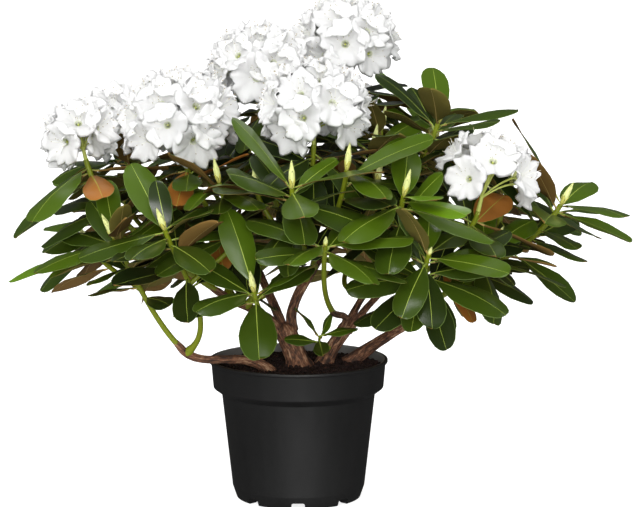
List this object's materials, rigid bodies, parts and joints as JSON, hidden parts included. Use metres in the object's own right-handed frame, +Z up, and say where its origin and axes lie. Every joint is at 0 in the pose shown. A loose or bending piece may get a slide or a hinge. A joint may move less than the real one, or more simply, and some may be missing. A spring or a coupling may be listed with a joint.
{
  "type": "potted rhododendron",
  "caption": "Bushy evergreen rhododendron with whorls of glossy oblong leaves, pointed buds and domed white flower trusses, in a black plastic nursery pot.",
  "frame": {"origin": "middle of the pot's flat underside, on the ground", "axes": "+Z up, -Y towards the side that the picture shows, +X to the right in the picture"},
  "size_m": [0.7823, 0.6598, 0.6401],
  "materials": {
    "pot_plastic": "satin",
    "peat": "matte",
    "bark": "matte",
    "foliage": "satin",
    "petals": "matte"
  },
  "bodies": {
    "root": {"pot": "pot_plastic", "potting_mix": "peat", "trunk": "bark", "stem_right": "bark", "stem_far_right": "bark", "stem_low_left": "bark", "bough_left": "bark", "bough_up": "bark", "bough_back": "bark", "bough_front": "bark", "bough_right": "bark", "bough_back_right": "bark", "leaves_far_left": "foliage", "leaves_left_top": "foliage", "leaves_left_crown": "foliage", "leaves_left_low": "foliage", "leaves_left_front": "foliage", "leaves_upper_left": "foliage", "leaves_top_left": "foliage", "leaves_top": "foliage", "leaves_top_front": "foliage", "leaves_front_upper": "foliage", "leaves_front_right_upper": "foliage", "leaves_front_right": "foliage", "leaves_front_centre": "foliage", "leaves_front_low": "foliage", "leaves_base": "foliage", "leaves_right_low": "foliage", "leaves_right_mid": "foliage", "leaves_right_bloom": "foliage", "leaves_far_right": "foliage", "leaves_upper_right": "foliage", "leaves_back_right": "foliage", "leaves_back_far_right": "foliage", "leaves_back_top": "foliage", "leaves_back_low": "foliage", "leaves_back": "foliage", "leaves_back_left": "foliage", "leaves_back_far_left": "foliage", "leaves_back_low_left": "foliage", "truss_far_left": "petals", "truss_left_top": "petals", "truss_left_crown": "petals", "truss_top_left": "petals", "truss_top": "petals", "truss_top_front": "petals", "truss_right_bloom": "petals", "truss_back_top": "petals", "truss_back_left": "petals"}
  },
  "joints": []
}
